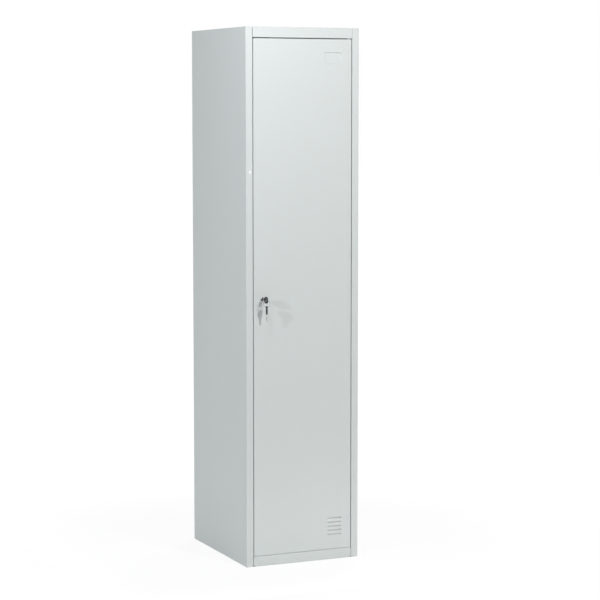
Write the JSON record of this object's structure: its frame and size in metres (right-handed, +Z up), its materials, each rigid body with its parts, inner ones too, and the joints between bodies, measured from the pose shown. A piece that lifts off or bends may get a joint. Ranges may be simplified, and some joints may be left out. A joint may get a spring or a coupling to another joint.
{
  "type": "single-door steel locker",
  "caption": "Tall narrow steel clothes locker in light grey with a hinged louvred door, cam lock with keys, hat shelf and hanging rail.",
  "frame": {"origin": "on the ground under the middle of the carcass, on the base channel's foot", "axes": "+Z up, front with the door towards -Y, +X to the right when facing the door"},
  "size_m": [0.418, 0.5445, 1.83],
  "materials": {
    "light_grey_paint": "satin powder coat with a fine orange peel",
    "zinc_steel": "bright zinc plating",
    "rail_steel": "polished chrome plating",
    "bright_chrome": "polished chrome plating",
    "key_steel": "nickel plating with fine brushing",
    "black_plastic": "fine moulded grain",
    "white_plastic": "smooth moulded plastic",
    "dark_rubber": "matt rubber"
  },
  "bodies": {
    "carcass": {"side_panel_left": "light_grey_paint", "side_panel_right": "light_grey_paint", "back_panel": "light_grey_paint", "top_panel": "light_grey_paint", "base_panel": "light_grey_paint", "base_channel": "light_grey_paint", "hat_shelf": "light_grey_paint", "shelf_bracket_left": "light_grey_paint", "shelf_bracket_right": "light_grey_paint", "hanging_rail": "rail_steel", "rail_socket_left": "black_plastic", "rail_socket_right": "black_plastic", "coat_hook_left": "zinc_steel", "coat_hook_right": "zinc_steel", "door_buffer_lower": "dark_rubber", "door_buffer_upper": "dark_rubber", "stile_plug": "white_plastic", "hinge_bush_top": "white_plastic", "hinge_bush_bottom": "white_plastic"},
    "door": {"door_skin": "light_grey_paint", "door_stiffener": "light_grey_paint", "hinge_bracket_top": "zinc_steel", "hinge_bracket_bottom": "zinc_steel", "hinge_pin_top": "zinc_steel", "hinge_pin_bottom": "zinc_steel", "lock_housing": "bright_chrome", "lock_nut": "zinc_steel"},
    "lock": {"lock_plug": "bright_chrome", "lock_cam": "zinc_steel", "cam_screw": "zinc_steel"},
    "key": {"key_blade": "key_steel", "key_bow": "black_plastic"},
    "ring": {"key_ring": "bright_chrome"},
    "spare_key": {"spare_key_blade": "key_steel", "spare_key_bow": "black_plastic"}
  },
  "joints": [
    {"name": "door_hinge", "type": "hinge", "parent": "carcass", "child": "door", "pos_m": [0.173, -0.243, 0], "axis": [0, 0, 1], "range_deg": [0, 105]},
    {"name": "lock_turn", "type": "hinge", "parent": "door", "child": "lock", "pos_m": [-0.148, -0.254, 0.9165], "axis": [0, 1, 0], "range_deg": [0, 90]},
    {"name": "key_slide", "type": "slide", "parent": "lock", "child": "key", "axis": [0, -1, 0], "range_m": [0, 0.028]},
    {"name": "ring_swing", "type": "hinge", "parent": "key", "child": "ring", "pos_m": [-0.148, -0.283, 0.91455], "axis": [0.9135, -0.4067, 0], "range_deg": [-60, 10]},
    {"name": "spare_key_swing", "type": "hinge", "parent": "ring", "child": "spare_key", "pos_m": [-0.148, -0.283, 0.89205], "axis": [0.9135, -0.4067, 0], "range_deg": [-45, 10]}
  ]
}
